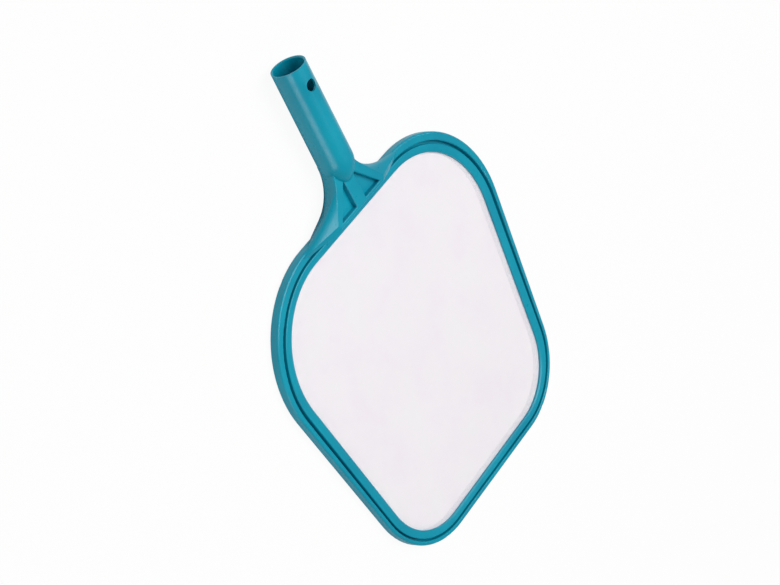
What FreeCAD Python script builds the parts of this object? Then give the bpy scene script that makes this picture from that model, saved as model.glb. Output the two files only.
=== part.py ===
import FreeCAD, Part
import Sketcher
import math
import os

# Head of a hand leaf skimmer, lying on its back.
# Z is the way the net faces, -Y is the way the pole socket points and +Y is the scooping edge.
# Sketches are drawn with y = 0 on the net opening's straight edge beside the socket. Each piece is then
# moved along Y by the same amount, so that the part's origin is the middle of its bottom.

SIZES = {
    # The net opening, a rounded trapezoid. The half widths are taken at its sharp corners.
    "opening_back_half": 150.2,
    "opening_front_half": 108.9,
    "opening_length": 270.1,
    "opening_back_radius": 77.4,
    "opening_front_radius": 56.8,
    # The band between the opening and the frame's outer wall
    "band_back": 15.7,
    "band_side_back": 17.4,
    "band_side_front": 12.9,
    "band_front": 11.6,
    "outer_back_radius": 90.3,
    "outer_front_radius": 70.0,
    # The recess for the ring, by how far it reaches outside the opening. The rim is what is left of the band.
    "recess_back": 8.6,
    "recess_side_back": 12.0,
    "recess_side_front": 9.8,
    "recess_front": 7.4,
    "recess_back_radius": 87.0,
    "recess_front_radius": 65.5,
    "rim_height": 9.4,
    "rim_top_round": 1.9,
    "rim_inner_round": 1.0,
    "rim_bottom_round": 2.8,
    # What lies in the recess, and the gutter between the ring and the rim
    "seat_height": 5.7,
    "gutter_height": 4.4,
    "net_thickness": 0.6,
    "ring_thickness": 2.6,
    # The retaining ring's width, and its top's slope from the inner edge up to the crest
    "ring_back": 6.4,
    "ring_side": 8.2,
    "ring_front": 5.8,
    "ring_round": 0.9,
    "ring_edge_height": 1.7,
    "ring_shoulder": 1.4,
    "ring_shoulder_height": 2.25,
    "ring_crest": 3.6,
    # The ring's tongue and the groove that it presses into
    "tongue_offset": 3.6,
    "tongue_width": 1.5,
    "tongue_depth": 1.3,
    "tongue_clearance": 0.1,
    # The net reaches under the ring as far as its tongue. The coarse gaps stand for fine mesh.
    "net_clearance": 0.2,
    "net_hem": 2.0,
    "net_pitch": 15.2,
    "net_strand": 1.6,
    # The hollow back of the band and the ribs across it
    "back_wall": 3.0,
    "channel_depth": 2.0,
    "channel_rib": 1.8,
    "channel_rib_count": 28,
    # The pole socket. Its root is the end of its centre line, inside the gusset. Its nose curves down to the root.
    "socket_root": 36.0,
    "socket_length": 111.0,
    "socket_tilt": 2.0,
    "socket_lift": 0.9,
    "socket_mouth_radius": 15.0,
    "socket_root_radius": 15.3,
    "socket_nose_length": 22.0,
    "socket_nose_drop": 10.3,
    "bore_radius": 13.2,
    "bore_depth": 89.0,
    "bore_chamfer": 0.8,
    "lock_hole_radius": 5.0,
    "lock_hole_from_mouth": 18.0,
    # The gusset is a loft through three level sections: its foot, its waist and its top.
    "gusset_waist": 8.7,
    "gusset_top": 21.4,
    "gusset_round": 1.0,
    "foot_bar_y": 9.4,
    "foot_bar_half": 48.0,
    "foot_wing_half": 53.5,
    "foot_throat_half": 6.0,
    "foot_flare_start": 54.0,
    "foot_flare_radius": 35.6,
    "waist_bar_half": 66.0,
    "waist_wing_half": 74.0,
    "waist_throat_half": 12.8,
    "waist_flare_start": 58.0,
    "waist_flare_radius": 37.8,
    "wing_y": 12.7,
    "top_bar_y": 11.2,
    "top_bar_half": 31.0,
    "top_wing_half": 33.8,
    "top_wing_y": 15.5,
    "top_throat_half": 13.2,
    "top_flare_start": 57.0,
    "top_flare_radius": 34.0,
    # The two pockets in the gusset's top, each side of its centre rib, and the two cores in its underside
    "pocket_rib_half": 6.6,
    "pocket_bar": 3.2,
    "pocket_span": 21.1,
    "pocket_length": 26.0,
    "pocket_depth": 4.6,
    "core_rib_half": 3.0,
    "core_y": 18.5,
    "core_span": 21.0,
    "core_length": 17.5,
    "core_depth": 12.8,
}

doc = FreeCAD.newDocument("leaf_skimmer_head")
sheet = doc.addObject("Spreadsheet::Sheet", "Sizes")
for row, (alias, value) in enumerate(SIZES.items(), start=1):
    sheet.set(f"A{row}", alias)
    sheet.set(f"B{row}", str(value))
    sheet.setAlias(f"B{row}", alias)
doc.recompute()

SIDE_SLOPE = "((Sizes.opening_back_half - Sizes.opening_front_half) / Sizes.opening_length)"
SIDE_STRETCH = f"sqrt(1 + {SIDE_SLOPE} ^ 2)"
TILT = "(Sizes.socket_tilt * 1deg)"
SOCKET_REACH = (f"(Sizes.socket_root + Sizes.socket_length * cos({TILT})"
                f" + Sizes.socket_mouth_radius * sin({TILT}))")
ORIGIN_SHIFT = f"({SOCKET_REACH} - Sizes.opening_length - Sizes.band_front) / 2"
SOCKET_HEIGHT = "(Sizes.socket_lift + Sizes.socket_root_radius)"
NOSE_RADIUS = "((Sizes.socket_nose_length ^ 2 + Sizes.socket_nose_drop ^ 2) / (2 * Sizes.socket_nose_drop))"
RING_FOOT = "Sizes.seat_height + Sizes.net_thickness"
LEVEL_TOLERANCE = 1e-4


def number(expression):
    """The present value of an expression on the sheet's cells."""
    value = sheet.evalExpression(expression)
    return float(getattr(value, "Value", value))


def vector(x_expression, y_expression, z=0.0):
    return FreeCAD.Vector(number(x_expression), number(y_expression), z)


def arc_between(centre, start, end):
    """The counter-clockwise arc of a circle from one point to another."""
    begin = math.atan2(start.y - centre.y, start.x - centre.x)
    finish = math.atan2(end.y - centre.y, end.x - centre.x)
    circle = Part.Circle(centre, FreeCAD.Vector(0, 0, 1), (start - centre).Length)
    return Part.ArcOfCircle(circle, begin, finish)


def plane_of(body, role):
    """One of the body's own origin planes."""
    return [feature for feature in body.Origin.OriginFeatures if feature.Role == role][0]


def new_body(name):
    body = doc.addObject("PartDesign::Body", name)
    body.setExpression("Placement.Base.y", ORIGIN_SHIFT)
    return body


def new_sketch(body, name, height="0", role="XY_Plane"):
    """A sketch on one of the body's planes, lifted along the plane's normal."""
    sketch = body.newObject("Sketcher::SketchObject", name)
    sketch.AttachmentSupport = [(plane_of(body, role), "")]
    sketch.MapMode = "FlatFace"
    sketch.setExpression("AttachmentOffset.Base.z", height)
    return sketch


def drive(sketch, kind, references, name, expression):
    """Adds a dimension and binds it to the sheet."""
    index = sketch.addConstraint(Sketcher.Constraint(kind, *references, number(expression)))
    sketch.renameConstraint(index, name)
    sketch.setExpression(f"Constraints.{name}", expression)


def place_point(sketch, geometry, point, name, x_expression, y_expression):
    """Holds a point of the sketch at its distances from the sketch's origin. "0" puts it on an axis."""
    for letter, axis, expression in (("X", -2, x_expression), ("Y", -1, y_expression)):
        if expression == "0":
            sketch.addConstraint(Sketcher.Constraint("PointOnObject", geometry, point, axis))
        elif number(expression) < 0:
            references = (geometry, point, -1, 1)
            drive(sketch, f"Distance{letter}", references, f"{name}_{letter}", f"-({expression})")
        else:
            references = (-1, 1, geometry, point)
            drive(sketch, f"Distance{letter}", references, f"{name}_{letter}", expression)


def draw_polygon(sketch, corners):
    """Straight edges through corners that are all given as expressions."""
    points = [vector(x, y) for x, y in corners]
    count = len(points)
    for index, point in enumerate(points):
        sketch.addGeometry(Part.LineSegment(point, points[(index + 1) % count]), False)
    for index, (x_expression, y_expression) in enumerate(corners):
        sketch.addConstraint(Sketcher.Constraint("Coincident", index - 1 if index else count - 1, 2, index, 1))
        place_point(sketch, index, 1, f"corner_{index}", x_expression, y_expression)


class Outline:
    """A rounded trapezoid round the opening, given by how far it lies outside the opening's edges."""

    def __init__(self, back, side_back, side_front, front, back_radius, front_radius):
        self.back_y = "0" if back == "0" else f"-({back})"
        self.front_y = f"Sizes.opening_length + {front}"
        self.back_half = f"Sizes.opening_back_half + {SIDE_SLOPE} * ({back}) + {SIDE_STRETCH} * ({side_back})"
        self.front_half = f"Sizes.opening_front_half - {SIDE_SLOPE} * ({front}) + {SIDE_STRETCH} * ({side_front})"
        self.radii = [back_radius, front_radius]

    def corners(self):
        """The sharp corners, counter-clockwise from the wide end's right one."""
        wide = vector(self.back_half, self.back_y)
        narrow = vector(self.front_half, self.front_y)
        return [wide, narrow, FreeCAD.Vector(-narrow.x, narrow.y, 0), FreeCAD.Vector(-wide.x, wide.y, 0)]

    def curves(self):
        """The four arcs, each followed by the line that leaves it."""
        corners = self.corners()
        radii = [number(radius) for radius in self.radii + self.radii[::-1]]
        rounds = []
        for index, (corner, radius) in enumerate(zip(corners, radii)):
            before = (corners[index - 1] - corner).normalize()
            after = (corners[(index + 1) % 4] - corner).normalize()
            half_angle = before.getAngle(after) / 2
            centre = corner + (before + after).normalize() * (radius / math.sin(half_angle))
            reach = radius / math.tan(half_angle)
            rounds.append((centre, corner + before * reach, corner + after * reach))
        curves = []
        for index, (centre, start, end) in enumerate(rounds):
            curves.append(arc_between(centre, start, end))
            curves.append(Part.LineSegment(end, rounds[(index + 1) % 4][1]))
        return curves

    def face(self):
        """The area inside the outline, for a piece that is made from a face."""
        return Part.Face(Part.Wire([curve.toShape() for curve in self.curves()]))

    def draw(self, sketch, name):
        """Adds the outline to a sketch, with its corners and radii bound to the sheet."""
        first = sketch.addGeometry(self.curves(), False)[0]
        arcs = [first + 2 * index for index in range(4)]
        lines = [first + 2 * index + 1 for index in range(4)]
        for index in range(4):
            following = arcs[(index + 1) % 4]
            sketch.addConstraint(Sketcher.Constraint("Tangent", arcs[index], 2, lines[index], 1))
            sketch.addConstraint(Sketcher.Constraint("Tangent", lines[index], 2, following, 1))
        sketch.addConstraint(Sketcher.Constraint("Equal", arcs[0], arcs[3]))
        sketch.addConstraint(Sketcher.Constraint("Equal", arcs[1], arcs[2]))
        points = [sketch.addGeometry(Part.Point(corner), True) for corner in self.corners()]
        for index, point in enumerate(points):
            sketch.addConstraint(Sketcher.Constraint("PointOnObject", point, 1, lines[index - 1]))
            sketch.addConstraint(Sketcher.Constraint("PointOnObject", point, 1, lines[index]))
        sketch.addConstraint(Sketcher.Constraint("Symmetric", points[0], 1, points[3], 1, -2))
        sketch.addConstraint(Sketcher.Constraint("Symmetric", points[1], 1, points[2], 1, -2))
        drive(sketch, "Radius", (arcs[0],), f"{name}_back_radius", self.radii[0])
        drive(sketch, "Radius", (arcs[1],), f"{name}_front_radius", self.radii[1])
        place_point(sketch, points[0], 1, f"{name}_back", self.back_half, self.back_y)
        place_point(sketch, points[1], 1, f"{name}_front", self.front_half, self.front_y)


def parallel_outline(offset):
    """An outline at one distance outside the opening all the way round."""
    if offset == "0":
        radii = ("Sizes.opening_back_radius", "Sizes.opening_front_radius")
    else:
        radii = (f"Sizes.opening_back_radius + {offset}", f"Sizes.opening_front_radius + {offset}")
    return Outline(offset, offset, offset, offset, *radii)


def band_outline(inset_back, inset_side, inset_front, back_radius, front_radius):
    """An outline inside the frame's outer wall by its own distance at each side."""
    return Outline(f"(Sizes.band_back - {inset_back})", f"(Sizes.band_side_back - {inset_side})",
                   f"(Sizes.band_side_front - {inset_side})", f"(Sizes.band_front - {inset_front})",
                   back_radius, front_radius)


OPENING = parallel_outline("0")
OUTER_WALL = band_outline("0", "0", "0", "Sizes.outer_back_radius", "Sizes.outer_front_radius")
RECESS = Outline("Sizes.recess_back", "Sizes.recess_side_back", "Sizes.recess_side_front", "Sizes.recess_front",
                 "Sizes.recess_back_radius", "Sizes.recess_front_radius")
RING_EDGE = Outline("Sizes.ring_back", "Sizes.ring_side", "Sizes.ring_side", "Sizes.ring_front",
                    "Sizes.opening_back_radius + (Sizes.ring_back + Sizes.ring_side) / 2",
                    "Sizes.opening_front_radius + (Sizes.ring_front + Sizes.ring_side) / 2")


def set_profile(feature, sketch, length):
    feature.Profile = sketch
    if length is None:
        feature.Type = "ThroughAll"
    else:
        feature.setExpression("Length", length)
    doc.recompute()
    return feature


def pad(body, name, sketch, length, reverse=False):
    feature = body.newObject("PartDesign::Pad", name)
    feature.Reversed = reverse
    return set_profile(feature, sketch, length)


def pocket(body, name, sketch, length=None, reverse=False):
    """Cuts from the sketch against its normal, or along it if reversed."""
    feature = body.newObject("PartDesign::Pocket", name)
    feature.Reversed = reverse
    return set_profile(feature, sketch, length)


def round_edges(body, name, height, radius):
    """Rounds the edges that lie wholly at one height."""
    base = body.Tip
    level = number(height)
    edges = []
    for index, edge in enumerate(base.Shape.Edges, start=1):
        box = edge.BoundBox
        if abs(box.ZMin - level) < LEVEL_TOLERANCE and abs(box.ZMax - level) < LEVEL_TOLERANCE:
            edges.append(f"Edge{index}")
    feature = body.newObject("PartDesign::Fillet", name)
    feature.Base = (base, edges)
    feature.setExpression("Radius", radius)
    doc.recompute()


def mirror_across(body, feature):
    """Repeats a feature on the other side of the centre plane."""
    mirrored = body.newObject("PartDesign::Mirrored", f"{feature.Name}_pair")
    mirrored.Originals = [feature]
    mirrored.MirrorPlane = (plane_of(body, "YZ_Plane"), [""])
    body.Tip = mirrored
    doc.recompute()


def gusset_section(body, name, height, bar, wing, throat, flare_radius):
    """Right half of a level section: the bar, the wing and a flare that is tangent to wing and throat."""
    sketch = new_sketch(body, name, height)
    bar_point, wing_point, throat_point = vector(*bar), vector(*wing), vector(*throat)
    radius = number(flare_radius)
    centre = throat_point + FreeCAD.Vector(radius, 0, 0)
    to_centre = centre - wing_point
    heading = math.atan2(to_centre.y, to_centre.x) - math.asin(radius / to_centre.Length)
    reach = math.sqrt(to_centre.Length ** 2 - radius ** 2)
    touch_point = wing_point + FreeCAD.Vector(math.cos(heading), math.sin(heading), 0) * reach
    bar_middle = FreeCAD.Vector(0, bar_point.y, 0)
    throat_middle = FreeCAD.Vector(0, throat_point.y, 0)
    sketch.addGeometry([
        Part.LineSegment(bar_middle, bar_point),
        Part.LineSegment(bar_point, wing_point),
        Part.LineSegment(wing_point, touch_point),
        arc_between(centre, touch_point, throat_point),
        Part.LineSegment(throat_point, throat_middle),
        Part.LineSegment(throat_middle, bar_middle),
    ], False)
    for edge, following in ((0, 1), (1, 2), (3, 4), (4, 5), (5, 0)):
        sketch.addConstraint(Sketcher.Constraint("Coincident", edge, 2, following, 1))
    sketch.addConstraint(Sketcher.Constraint("Tangent", 2, 2, 3, 1))
    sketch.addConstraint(Sketcher.Constraint("Horizontal", 3, 3, 3, 2))
    drive(sketch, "Radius", (3,), "flare_radius", flare_radius)
    place_point(sketch, 0, 1, "bar_middle", "0", bar[1])
    place_point(sketch, 1, 1, "bar", *bar)
    place_point(sketch, 2, 1, "wing", *wing)
    place_point(sketch, 4, 1, "throat", *throat)
    place_point(sketch, 5, 1, "throat_middle", "0", throat[1])
    return sketch


def socket_sketch(body, name):
    """A sketch in the centre plane whose X axis is the socket's centre line, with zero at its root."""
    sketch = new_sketch(body, name, role="YZ_Plane")
    sketch.AttachmentOffset = FreeCAD.Placement(
        FreeCAD.Vector(0, 0, 0), FreeCAD.Rotation(FreeCAD.Vector(0, 0, -1), number("Sizes.socket_tilt")))
    sketch.setExpression("AttachmentOffset.Base.x", "-Sizes.socket_root")
    sketch.setExpression("AttachmentOffset.Base.y", SOCKET_HEIGHT)
    sketch.setExpression("AttachmentOffset.Rotation.Angle", TILT)
    return sketch


def turn(body, kind, name, sketch):
    """A full turn of the sketch about its own X axis."""
    feature = body.newObject(f"PartDesign::{kind}", name)
    feature.Profile = sketch
    feature.ReferenceAxis = (sketch, ["H_Axis"])
    feature.Angle = 360
    doc.recompute()


def make_frame_moulding():
    body = new_body("frame_moulding")

    rim = new_sketch(body, "rim_sketch")
    OUTER_WALL.draw(rim, "wall")
    pad(body, "rim", rim, "Sizes.rim_height")
    round_edges(body, "rim_top_rounding", "Sizes.rim_height", "Sizes.rim_top_round")
    round_edges(body, "rim_bottom_rounding", "0", "Sizes.rim_bottom_round")

    opening = new_sketch(body, "opening_sketch", "Sizes.rim_height")
    OPENING.draw(opening, "opening")
    pocket(body, "net_opening", opening)

    recess = new_sketch(body, "recess_sketch", "Sizes.rim_height")
    RECESS.draw(recess, "recess")
    pocket(body, "ring_recess", recess, "Sizes.rim_height - Sizes.seat_height")
    round_edges(body, "rim_inner_rounding", "Sizes.rim_height", "Sizes.rim_inner_round")

    gutter = new_sketch(body, "gutter_sketch", "Sizes.seat_height")
    RING_EDGE.draw(gutter, "ring")
    RECESS.draw(gutter, "recess")
    pocket(body, "gutter", gutter, "Sizes.seat_height - Sizes.gutter_height")

    groove = new_sketch(body, "tongue_groove_sketch", "Sizes.seat_height")
    parallel_outline("(Sizes.tongue_offset - Sizes.tongue_clearance)").draw(groove, "inner")
    parallel_outline("(Sizes.tongue_offset + Sizes.tongue_width + Sizes.tongue_clearance)").draw(groove, "outer")
    pocket(body, "tongue_groove", groove, "Sizes.tongue_depth + Sizes.tongue_clearance")

    make_gusset(body)
    make_socket(body)
    return body


def make_gusset(body):
    sections = []
    for level, height, wing_y in (("foot", "0", "Sizes.wing_y"), ("waist", "Sizes.gusset_waist", "Sizes.wing_y"),
                                  ("top", "Sizes.gusset_top", "Sizes.top_wing_y")):
        bar_y = "Sizes.top_bar_y" if level == "top" else "Sizes.foot_bar_y"
        sections.append(gusset_section(
            body, f"gusset_{level}_sketch", height,
            (f"Sizes.{level}_bar_half", f"-{bar_y}"),
            (f"Sizes.{level}_wing_half", f"-{wing_y}"),
            (f"Sizes.{level}_throat_half", f"-Sizes.{level}_flare_start"),
            f"Sizes.{level}_flare_radius"))
    loft = body.newObject("PartDesign::AdditiveLoft", "gusset")
    loft.Profile = sections[0]
    loft.Sections = sections[1:]
    loft.Ruled = True
    doc.recompute()
    mirror_across(body, loft)

    upper = new_sketch(body, "pocket_sketch", "Sizes.gusset_top")
    pocket_y = "-(Sizes.top_bar_y + Sizes.pocket_bar)"
    draw_polygon(upper, [
        ("Sizes.pocket_rib_half", f"{pocket_y} - Sizes.pocket_length"),
        ("Sizes.pocket_rib_half + Sizes.pocket_span", pocket_y),
        ("Sizes.pocket_rib_half", pocket_y),
    ])
    mirror_across(body, pocket(body, "gusset_pocket", upper, "Sizes.pocket_depth"))
    round_edges(body, "gusset_rounding", "Sizes.gusset_top", "Sizes.gusset_round")

    lower = new_sketch(body, "core_sketch")
    draw_polygon(lower, [
        ("Sizes.core_rib_half", "-Sizes.core_y - Sizes.core_length"),
        ("Sizes.core_rib_half + Sizes.core_span", "-Sizes.core_y"),
        ("Sizes.core_rib_half", "-Sizes.core_y"),
    ])
    mirror_across(body, pocket(body, "gusset_core", lower, "Sizes.core_depth", reverse=True))


def make_socket(body):
    outside = socket_sketch(body, "socket_sketch")
    nose = vector("-Sizes.socket_nose_length", "Sizes.socket_root_radius")
    nose_end = vector("0", "Sizes.socket_root_radius - Sizes.socket_nose_drop")
    nose_centre = nose - vector("0", NOSE_RADIUS)
    mouth = vector("-Sizes.socket_length", "Sizes.socket_mouth_radius")
    mouth_middle = FreeCAD.Vector(mouth.x, 0, 0)
    outside.addGeometry([
        Part.LineSegment(mouth_middle, FreeCAD.Vector(0, 0, 0)),
        Part.LineSegment(FreeCAD.Vector(0, 0, 0), nose_end),
        arc_between(nose_centre, nose_end, nose),
        Part.LineSegment(nose, mouth),
        Part.LineSegment(mouth, mouth_middle),
    ], False)
    for edge in range(5):
        outside.addConstraint(Sketcher.Constraint("Coincident", edge, 2, (edge + 1) % 5, 1))
    drive(outside, "Radius", (2,), "nose_radius", NOSE_RADIUS)
    outside.addConstraint(Sketcher.Constraint("Coincident", 1, 1, -1, 1))
    place_point(outside, 2, 1, "nose_end", "0", "Sizes.socket_root_radius - Sizes.socket_nose_drop")
    place_point(outside, 3, 1, "nose", "-Sizes.socket_nose_length", "Sizes.socket_root_radius")
    place_point(outside, 4, 1, "mouth", "-Sizes.socket_length", "Sizes.socket_mouth_radius")
    place_point(outside, 0, 1, "mouth_middle", "-Sizes.socket_length", "0")
    turn(body, "Revolution", "socket", outside)

    bore = socket_sketch(body, "bore_sketch")
    draw_polygon(bore, [
        ("-Sizes.socket_length", "0"),
        ("-Sizes.socket_length + Sizes.bore_depth", "0"),
        ("-Sizes.socket_length + Sizes.bore_depth", "Sizes.bore_radius"),
        ("-Sizes.socket_length + Sizes.bore_chamfer", "Sizes.bore_radius"),
        ("-Sizes.socket_length", "Sizes.bore_radius + Sizes.bore_chamfer"),
    ])
    turn(body, "Groove", "bore", bore)

    hole = new_sketch(body, "lock_hole_sketch")
    hole.AttachmentOffset = FreeCAD.Placement(
        FreeCAD.Vector(0, 0, 0), FreeCAD.Rotation(FreeCAD.Vector(-1, 0, 0), number("Sizes.socket_tilt")))
    from_root = "(Sizes.socket_length - Sizes.lock_hole_from_mouth)"
    hole.setExpression("AttachmentOffset.Base.y", f"-Sizes.socket_root - {from_root} * cos({TILT})")
    hole.setExpression("AttachmentOffset.Base.z", f"{SOCKET_HEIGHT} + {from_root} * sin({TILT})")
    hole.setExpression("AttachmentOffset.Rotation.Angle", TILT)
    circle = Part.Circle(FreeCAD.Vector(0, 0, 0), FreeCAD.Vector(0, 0, 1), number("Sizes.lock_hole_radius"))
    hole.addGeometry(circle, False)
    hole.addConstraint(Sketcher.Constraint("Coincident", 0, 3, -1, 1))
    drive(hole, "Radius", (0,), "radius", "Sizes.lock_hole_radius")
    drill = pocket(body, "lock_holes", hole)
    drill.Midplane = True
    doc.recompute()


def make_back_channel():
    """What is hollow in the band's back: a ring-shaped channel less the ribs that cross it."""
    wall = "Sizes.back_wall"
    inner = parallel_outline(wall)
    outer = band_outline(wall, wall, wall, f"Sizes.outer_back_radius - {wall}", f"Sizes.outer_front_radius - {wall}")
    middle = Outline("Sizes.band_back / 2", "Sizes.band_side_back / 2", "Sizes.band_side_front / 2",
                     "Sizes.band_front / 2", "(Sizes.opening_back_radius + Sizes.outer_back_radius) / 2",
                     "(Sizes.opening_front_radius + Sizes.outer_front_radius) / 2")
    depth = number("Sizes.channel_depth")
    width = number("Sizes.channel_rib")
    reach = number("Sizes.band_side_back")
    below = width
    count = int(number("Sizes.channel_rib_count"))
    path = middle.face().OuterWire
    stations = path.discretize(Number=2 * count + 1)
    ribs = []
    for index in range(count):
        place = stations[2 * index + 1]
        along = stations[2 * index + 2] - stations[2 * index]
        rib = Part.makeBox(width, 2 * reach, depth + below, FreeCAD.Vector(-width / 2, -reach, -below))
        turned = FreeCAD.Rotation(FreeCAD.Vector(1, 0, 0), along)
        rib.Placement = FreeCAD.Placement(place, turned)
        ribs.append(rib)
    ring = outer.face().cut(inner.face()).extrude(FreeCAD.Vector(0, 0, depth + below))
    ring.translate(FreeCAD.Vector(0, 0, -below))
    channel = doc.addObject("Part::Feature", "back_channel")
    channel.Shape = ring.cut(Part.makeCompound(ribs))
    return channel


def make_ring():
    body = new_body("net_retaining_ring")
    band = new_sketch(body, "ring_sketch", RING_FOOT)
    RING_EDGE.draw(band, "edge")
    OPENING.draw(band, "opening")
    pad(body, "ring_band", band, "Sizes.ring_thickness")
    round_edges(body, "ring_rounding", f"{RING_FOOT} + Sizes.ring_thickness", "Sizes.ring_round")

    slope = []
    for name, offset, height in (("edge", "0", "Sizes.ring_edge_height"),
                                 ("shoulder", "Sizes.ring_shoulder", "Sizes.ring_shoulder_height"),
                                 ("crest", "Sizes.ring_crest", "Sizes.ring_thickness")):
        section = new_sketch(body, f"ring_{name}_sketch", f"{RING_FOOT} + {height}")
        parallel_outline(offset).draw(section, name)
        slope.append(section)
    cut_away = body.newObject("PartDesign::SubtractiveLoft", "ring_slope")
    cut_away.Profile = slope[0]
    cut_away.Sections = slope[1:]
    cut_away.Ruled = True
    doc.recompute()

    tongue = new_sketch(body, "tongue_sketch", RING_FOOT)
    parallel_outline("Sizes.tongue_offset").draw(tongue, "inner")
    parallel_outline("(Sizes.tongue_offset + Sizes.tongue_width)").draw(tongue, "outer")
    pad(body, "tongue", tongue, "Sizes.net_thickness + Sizes.tongue_depth", reverse=True)
    return body


def make_net():
    """One flat holed sheet on the frame's seat, with square gaps clipped at its hem."""
    edge = parallel_outline("(Sizes.tongue_offset - Sizes.net_clearance)").face()
    mesh = parallel_outline("(-Sizes.net_hem)").face()
    pitch = number("Sizes.net_pitch")
    gap = pitch - number("Sizes.net_strand")
    box = mesh.BoundBox
    columns = math.ceil(box.XMax / pitch)
    rows = math.ceil(box.YLength / pitch / 2)
    middle = box.Center.y
    squares = []
    for row in range(-rows, rows):
        for column in range(-columns, columns):
            corner = FreeCAD.Vector((column + 0.5) * pitch - gap / 2, middle + (row + 0.5) * pitch - gap / 2, 0)
            squares.append(Part.makePlane(gap, gap, corner))
    gaps = [face for face in mesh.common(Part.makeCompound(squares)).Faces if face.Area > gap]
    print("net gaps:", len(gaps))
    net = doc.addObject("Part::Feature", "net")
    sheet_face = edge.cut(Part.makeCompound(gaps))
    net.Shape = sheet_face.extrude(FreeCAD.Vector(0, 0, number("Sizes.net_thickness")))
    net.Placement.Base = vector("0", ORIGIN_SHIFT, number("Sizes.seat_height"))
    return net


moulding = make_frame_moulding()
channel = make_back_channel()
channel.Placement.Base = moulding.Placement.Base
frame = doc.addObject("Part::Cut", "skimmer_frame")
frame.Base = moulding
frame.Tool = channel
ring = make_ring()
net = make_net()
doc.recompute()

for item in doc.Objects:
    if "Invalid" in item.State or "Error" in item.State:
        raise RuntimeError(f"{item.Label} did not compute: {item.State}")

os.makedirs("parts", exist_ok=True)
for node in (frame, ring, net):
    node.Label = node.Name
    shape = node.Shape
    if shape.isNull() or not shape.isValid() or len(shape.Solids) != 1:
        raise RuntimeError(f"{node.Label} is not one valid solid")
    box = shape.BoundBox
    print(f"{node.Label}: {shape.Volume / 1000:.2f} cm3,"
          f" x {box.XMin:.2f} {box.XMax:.2f}, y {box.YMin:.2f} {box.YMax:.2f}, z {box.ZMin:.2f} {box.ZMax:.2f}")
    shape.exportStep(f"parts/{node.Label}.step")
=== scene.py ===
import math

import bpy
import numpy as np
from mathutils import Matrix, Vector


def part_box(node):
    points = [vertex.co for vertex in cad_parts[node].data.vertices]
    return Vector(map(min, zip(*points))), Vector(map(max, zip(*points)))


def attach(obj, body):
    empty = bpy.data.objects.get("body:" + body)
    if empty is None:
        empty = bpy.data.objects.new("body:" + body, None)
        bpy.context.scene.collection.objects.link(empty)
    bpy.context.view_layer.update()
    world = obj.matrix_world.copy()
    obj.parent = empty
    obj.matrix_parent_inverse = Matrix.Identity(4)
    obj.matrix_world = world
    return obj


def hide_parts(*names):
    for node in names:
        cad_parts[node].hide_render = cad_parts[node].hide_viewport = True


# The looks of a hand leaf skimmer's head, lying on its back on a pale floor. Units are metres.
MM = 0.001
X, Y = 0, 1
FRAME_NODE = "skimmer_frame"
RING_NODE = "net_retaining_ring"
NET_NODE = "net"

# Moulded plastic. Colours are display values, and noise scales are features per metre.
TEAL_LIGHT = (0, 158, 182)
TEAL_DEEP = (0, 143, 169)
TEAL_CLOUD_SCALE = 22.0
PLASTIC_IOR = 1.45
PLASTIC_ROUGHNESS = (0.23, 0.37)
SMEAR_SCALE = 160.0
RIPPLE_SCALE = 420.0
RIPPLE_DETAIL = 2.0
RIPPLE_HEIGHT = 0.06 * MM
RIPPLE_STRENGTH = 0.25

# Net thread
THREAD_LIGHT = (255, 252, 255)
THREAD_DEEP = (253, 246, 253)
THREAD_CLOUD_SCALE = 30.0
THREAD_ROUGHNESS = 0.55

NOISE_DETAIL = 4.0
CLOUD_LOW, CLOUD_HIGH = 0.3, 0.7

# The net's threads are flat, and lie in two layers that just bite into each other.
NET_PITCH = 0.9 * MM
THREAD_WIDTH = 0.6 * MM
THREAD_HEIGHT = 0.2 * MM
THREAD_SIDES = 6
LAYER_OFFSET = THREAD_HEIGHT * 0.45
SHORTEST_THREAD = 2 * NET_PITCH
LEVEL_EDGE = 1e-9

# Floor and light
FLOOR_REACH = 6.0
FLOOR_Z = -0.5 * MM
FLOOR_GREY = 0.8
FLOOR_ROUGHNESS = 0.8
FLOOR_WHITE_SHARE = 0.94
WORLD_STRENGTH = 0.23

# The camera's own axes in the row frame: towards the viewer, and up in the picture
CAMERA_BACK = Vector((0.572, -0.476, 0.667)).normalized()
CAMERA_UP = Vector((-0.634, -0.773, -0.008))
CAMERA_AIM = Vector((0.025474, -0.008416, 0.028396))
CAMERA_DISTANCE = 2.015
CAMERA_LENS_MM = 115.4
CAMERA_SENSOR_MM = 36.0

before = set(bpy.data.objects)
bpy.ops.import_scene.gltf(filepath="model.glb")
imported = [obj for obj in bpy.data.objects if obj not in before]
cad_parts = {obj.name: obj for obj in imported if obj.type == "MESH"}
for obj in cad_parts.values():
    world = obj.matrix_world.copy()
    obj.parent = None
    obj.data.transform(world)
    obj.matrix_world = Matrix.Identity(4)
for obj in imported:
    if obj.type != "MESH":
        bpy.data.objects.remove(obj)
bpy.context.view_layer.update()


def new_object(name, vertices, faces):
    mesh = bpy.data.meshes.new(name)
    mesh.from_pydata(vertices, [], faces)
    mesh.update()
    piece = bpy.data.objects.new(name, mesh)
    bpy.context.scene.collection.objects.link(piece)
    return piece


def dress(piece, material):
    piece.data.materials.clear()
    piece.data.materials.append(material)


# Materials

def linear(display):
    """A linear colour from display values of 0 to 255, by the sRGB curve."""
    shares = [value / 255 for value in display]
    return tuple(s / 12.92 if s <= 0.04045 else ((s + 0.055) / 1.055) ** 2.4 for s in shares)


def new_material(name):
    material = bpy.data.materials.new(name)
    material.use_nodes = True
    tree = material.node_tree
    return material, tree.nodes, tree.links, tree.nodes["Principled BSDF"]


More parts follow.
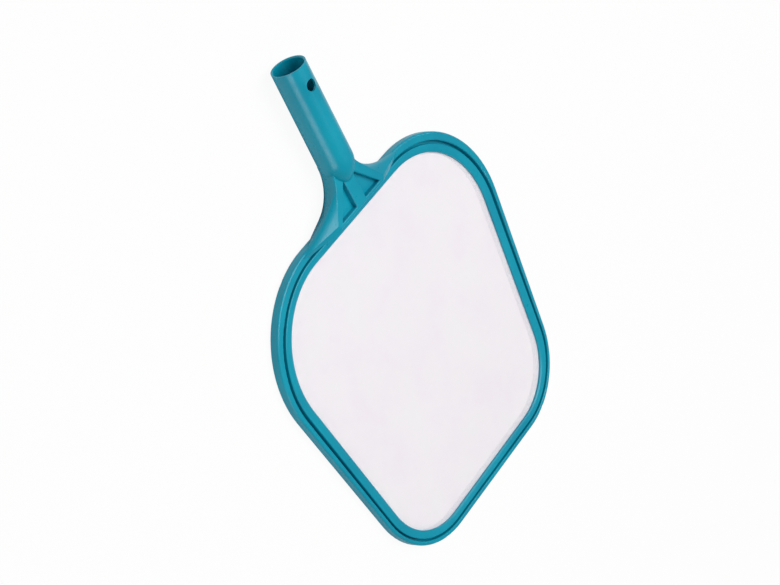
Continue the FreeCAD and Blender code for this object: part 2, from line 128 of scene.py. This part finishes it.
def add_noise(nodes, links, scale, detail=NOISE_DETAIL):
    """A noise pattern in the row frame."""
    place = nodes.new("ShaderNodeTexCoord")
    noise = nodes.new("ShaderNodeTexNoise")
    noise.inputs["Scale"].default_value = scale
    noise.inputs["Detail"].default_value = detail
    links.new(place.outputs["Object"], noise.inputs["Vector"])
    return noise


def add_clouded_colour(nodes, links, shader, scale, deep, light):
    """A base colour that drifts between a deep and a light tone."""
    cloud = add_noise(nodes, links, scale)
    ramp = nodes.new("ShaderNodeValToRGB")
    links.new(cloud.outputs["Fac"], ramp.inputs["Fac"])
    stops = [(CLOUD_LOW, deep), (CLOUD_HIGH, light)]
    for element, (position, colour) in zip(ramp.color_ramp.elements, stops):
        element.position = position
        element.color = (*linear(colour), 1.0)
    links.new(ramp.outputs["Color"], shader.inputs["Base Color"])


def plastic_material():
    """Glossy plastic, a little uneven in colour and gloss, with the faint ripple of a moulding."""
    material, nodes, links, shader = new_material("teal_plastic")
    add_clouded_colour(nodes, links, shader, TEAL_CLOUD_SCALE, TEAL_DEEP, TEAL_LIGHT)
    smear = add_noise(nodes, links, SMEAR_SCALE)
    gloss = nodes.new("ShaderNodeMapRange")
    gloss.inputs["To Min"].default_value, gloss.inputs["To Max"].default_value = PLASTIC_ROUGHNESS
    links.new(smear.outputs["Fac"], gloss.inputs["Value"])
    links.new(gloss.outputs["Result"], shader.inputs["Roughness"])
    ripple = add_noise(nodes, links, RIPPLE_SCALE, RIPPLE_DETAIL)
    bump = nodes.new("ShaderNodeBump")
    bump.inputs["Strength"].default_value = RIPPLE_STRENGTH
    bump.inputs["Distance"].default_value = RIPPLE_HEIGHT
    links.new(ripple.outputs["Fac"], bump.inputs["Height"])
    links.new(bump.outputs["Normal"], shader.inputs["Normal"])
    shader.inputs["IOR"].default_value = PLASTIC_IOR
    return material


def thread_material():
    material, nodes, links, shader = new_material("net_thread")
    add_clouded_colour(nodes, links, shader, THREAD_CLOUD_SCALE, THREAD_DEEP, THREAD_LIGHT)
    shader.inputs["Roughness"].default_value = THREAD_ROUGHNESS
    return material


# The net: straight threads in two layers, cut to the CAD net's outline

def outline_spans(across, along, positions):
    """For each position on one axis, the CAD net's lowest and highest point along the other."""
    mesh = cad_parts[NET_NODE].data
    points = np.array([v.co for v in mesh.vertices])
    edges = np.array([e.vertices[:] for e in mesh.edges])
    start, end = points[edges[:, 0]], points[edges[:, 1]]
    spans = []
    for position in positions:
        cross = (start[:, across] - position) * (end[:, across] - position) <= 0
        a, b = start[cross], end[cross]
        run = b[:, across] - a[:, across]
        sloped = np.abs(run) > LEVEL_EDGE
        share = np.where(sloped, (position - a[:, across]) / np.where(sloped, run, 1), 0)
        where = a[:, along] + share * (b[:, along] - a[:, along])
        spans.append((where.min(), where.max()) if len(where) else None)
    return spans


def thread_layer(across, along, height):
    """Corners and faces of one layer's threads."""
    low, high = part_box(NET_NODE)
    count = int((high[across] - low[across]) / NET_PITCH)
    middle = (low[across] + high[across]) / 2
    positions = [middle + (index - (count - 1) / 2) * NET_PITCH for index in range(count)]
    vertices, faces = [], []
    angles = [2 * math.pi * side / THREAD_SIDES for side in range(THREAD_SIDES)]
    for position, span in zip(positions, outline_spans(across, along, positions)):
        if span is None or span[1] - span[0] < SHORTEST_THREAD:
            continue
        first = len(vertices)
        for end in span:
            for angle in angles:
                point = [0.0, 0.0, height + THREAD_HEIGHT / 2 * math.sin(angle)]
                point[across] = position + THREAD_WIDTH / 2 * math.cos(angle)
                point[along] = end
                vertices.append(tuple(point))
        near = [first + side for side in range(THREAD_SIDES)]
        far = [corner + THREAD_SIDES for corner in near]
        for side in range(THREAD_SIDES):
            following = (side + 1) % THREAD_SIDES
            faces.append((near[side], near[following], far[following], far[side]))
        faces.append(tuple(reversed(near)))
        faces.append(tuple(far))
    return vertices, faces


def make_net():
    low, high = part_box(NET_NODE)
    middle = (low.z + high.z) / 2
    warp, warp_faces = thread_layer(X, Y, middle + LAYER_OFFSET)
    weft, weft_faces = thread_layer(Y, X, middle - LAYER_OFFSET)
    # Swapping the axes turns the weft's faces inside out, so their corners go round the other way.
    weft_faces = [tuple(corner + len(warp) for corner in reversed(face)) for face in weft_faces]
    piece = new_object("net_mesh", warp + weft, warp_faces + weft_faces)
    dress(piece, thread_material())
    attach(piece, "root")
    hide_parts(NET_NODE)


# Floor, light and camera

def make_floor():
    corners = [(-FLOOR_REACH, -FLOOR_REACH, FLOOR_Z), (FLOOR_REACH, -FLOOR_REACH, FLOOR_Z),
               (FLOOR_REACH, FLOOR_REACH, FLOOR_Z), (-FLOOR_REACH, FLOOR_REACH, FLOOR_Z)]
    floor = new_object("floor", corners, [(0, 1, 2, 3)])
    material, nodes, links, shader = new_material("pale_floor")
    shader.inputs["Base Color"].default_value = (FLOOR_GREY, FLOOR_GREY, FLOOR_GREY, 1.0)
    shader.inputs["Roughness"].default_value = FLOOR_ROUGHNESS
    # The camera sees the floor as an almost even white, as in a cut-out picture.
    white = nodes.new("ShaderNodeEmission")
    path = nodes.new("ShaderNodeLightPath")
    share = nodes.new("ShaderNodeMath")
    share.operation = "MULTIPLY"
    share.inputs[1].default_value = FLOOR_WHITE_SHARE
    mix = nodes.new("ShaderNodeMixShader")
    links.new(path.outputs["Is Camera Ray"], share.inputs[0])
    links.new(share.outputs["Value"], mix.inputs["Fac"])
    links.new(shader.outputs["BSDF"], mix.inputs[1])
    links.new(white.outputs["Emission"], mix.inputs[2])
    links.new(mix.outputs["Shader"], nodes["Material Output"].inputs["Surface"])
    dress(floor, material)


def make_lamp(name, place, aim, size, power):
    """A rectangular soft lamp. Its size is in metres and its power in watts."""
    light = bpy.data.lights.new(name, "AREA")
    light.shape = "RECTANGLE"
    light.size, light.size_y = size
    light.energy = power
    lamp = bpy.data.objects.new(name, light)
    bpy.context.scene.collection.objects.link(lamp)
    lamp.location = place
    lamp.rotation_mode = "QUATERNION"
    lamp.rotation_quaternion = (Vector(aim) - Vector(place)).to_track_quat("-Z", "Y")


def make_world():
    world = bpy.data.worlds.new("studio")
    bpy.context.scene.world = world
    world.use_nodes = True
    background = world.node_tree.nodes["Background"]
    background.inputs["Color"].default_value = (1.0, 1.0, 1.0, 1.0)
    background.inputs["Strength"].default_value = WORLD_STRENGTH


def make_camera():
    data = bpy.data.cameras.new("camera")
    data.lens = CAMERA_LENS_MM
    data.sensor_width = CAMERA_SENSOR_MM
    camera = bpy.data.objects.new("camera", data)
    bpy.context.scene.collection.objects.link(camera)
    right = CAMERA_UP.cross(CAMERA_BACK).normalized()
    up = CAMERA_BACK.cross(right)
    axes = Matrix((right, up, CAMERA_BACK)).transposed().to_4x4()
    camera.matrix_world = Matrix.Translation(CAMERA_AIM + CAMERA_BACK * CAMERA_DISTANCE) @ axes
    bpy.context.scene.camera = camera


make_net()
teal = plastic_material()
for node in (FRAME_NODE, RING_NODE):
    dress(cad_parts[node], teal)
make_floor()
make_lamp("key", place=(-0.5, -0.6, 2.3), aim=(0, 0, 0), size=(2.0, 2.0), power=53)
make_lamp("side", place=(1.6, 0.7, 0.85), aim=(0, -0.17, 0.03), size=(0.25, 1.0), power=6)
make_world()
make_camera()
bpy.context.scene.view_settings.view_transform = "Standard"
